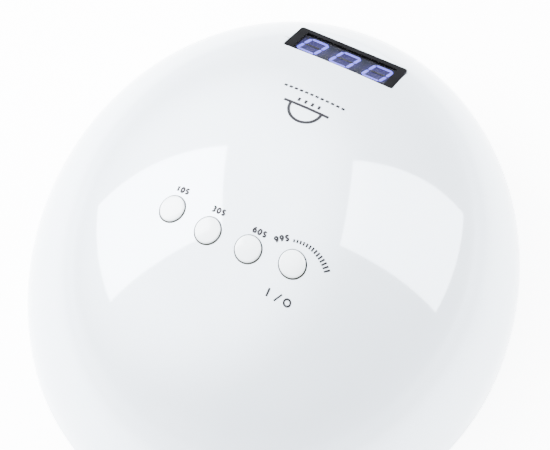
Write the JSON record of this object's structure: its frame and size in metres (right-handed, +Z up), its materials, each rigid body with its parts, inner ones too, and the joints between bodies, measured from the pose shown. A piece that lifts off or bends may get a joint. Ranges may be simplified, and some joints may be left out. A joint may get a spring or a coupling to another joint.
{
  "type": "uv curing lamp",
  "caption": "Glossy white dome lamp with a hand opening at the front, a slanted digit display, round push buttons on top and a removable base tray.",
  "frame": {"origin": "on the table, under the middle of the lamp", "axes": "+Z up, -Y to the hand opening and the display, +Y to the power inlet, +X to the side with the 10 s button"},
  "size_m": [0.208, 0.2212, 0.1035],
  "materials": {
    "pearl_white": "glossy pearl-white lacquered ABS",
    "button_white": "glossy white keycap",
    "liner_white": "satin white reflector",
    "mirror_plate": "polished stainless sheet",
    "foot_rubber": "soft matt rubber",
    "magnet_nickel": "nickel-plated magnet",
    "lens_clear": "clear moulded lens",
    "emitter_yellow": "emitter package",
    "star_board": "white solder mask on aluminium",
    "lead_black": "insulated lead",
    "sensor_dark": "infrared-clear dark epoxy",
    "board_green": "green circuit board",
    "window_smoke": "smoked clear window",
    "module_grey": "dark grey digit block",
    "segment_lit": "lit lavender segment",
    "segment_dark": "unlit segment",
    "socket_ivory": "nylon connector",
    "ribbon_grey": "flat cable",
    "part_black": "moulded black plastic",
    "can_silver": "aluminium can",
    "pin_metal": "nickel-plated brass pin",
    "screw_steel": "zinc-plated steel screw"
  },
  "bodies": {
    "tray": {"base_tray": "pearl_white", "reflector_plate": "mirror_plate", "tray_feet": "foot_rubber"},
    "housing": {"base_ring": "pearl_white", "housing_feet": "foot_rubber", "tray_magnets": "magnet_nickel", "top_shell": "pearl_white", "inner_reflector": "liner_white", "lamp_boards": "star_board", "lamp_emitters": "emitter_yellow", "lamp_lenses": "lens_clear", "lamp_loom": "lead_black", "hand_sensors": "sensor_dark", "sensor_board": "board_green", "display_window": "window_smoke", "display_module": "module_grey", "display_lit_bars": "segment_lit", "display_dark_bars": "segment_dark", "display_board": "board_green", "display_socket": "socket_ivory", "display_ribbon": "ribbon_grey", "control_board": "board_green", "switch_bodies": "part_black", "controller_chip": "part_black", "power_transistors": "part_black", "capacitors": "can_silver", "buzzer": "part_black", "control_sockets": "socket_ivory", "inlet_body": "part_black", "inlet_pin": "pin_metal", "power_lead": "lead_black", "shell_screws": "screw_steel", "liner_screws": "screw_steel", "control_screws": "screw_steel", "display_screws": "screw_steel"},
    "key_10s": {"button_10s": "button_white", "plunger_10s": "part_black"},
    "key_30s": {"button_30s": "button_white", "plunger_30s": "part_black"},
    "key_60s": {"button_60s": "button_white", "plunger_60s": "part_black"},
    "key_99s": {"button_99s": "button_white", "plunger_99s": "part_black"}
  },
  "joints": [
    {"name": "housing_lift", "type": "slide", "parent": "tray", "child": "housing", "axis": [0, 0, 1], "range_m": [0, 0.09]},
    {"name": "press_10s", "type": "slide", "parent": "housing", "child": "key_10s", "axis": [0, 0, -1], "range_m": [0, 0.0005], "stiffness_N_per_m": 800, "springref_m": -0.001},
    {"name": "press_30s", "type": "slide", "parent": "housing", "child": "key_30s", "axis": [0, 0, -1], "range_m": [0, 0.0005], "stiffness_N_per_m": 800, "springref_m": -0.001},
    {"name": "press_60s", "type": "slide", "parent": "housing", "child": "key_60s", "axis": [0, 0, -1], "range_m": [0, 0.0005], "stiffness_N_per_m": 800, "springref_m": -0.001},
    {"name": "press_99s", "type": "slide", "parent": "housing", "child": "key_99s", "axis": [0, 0, -1], "range_m": [0, 0.0005], "stiffness_N_per_m": 800, "springref_m": -0.001}
  ]
}
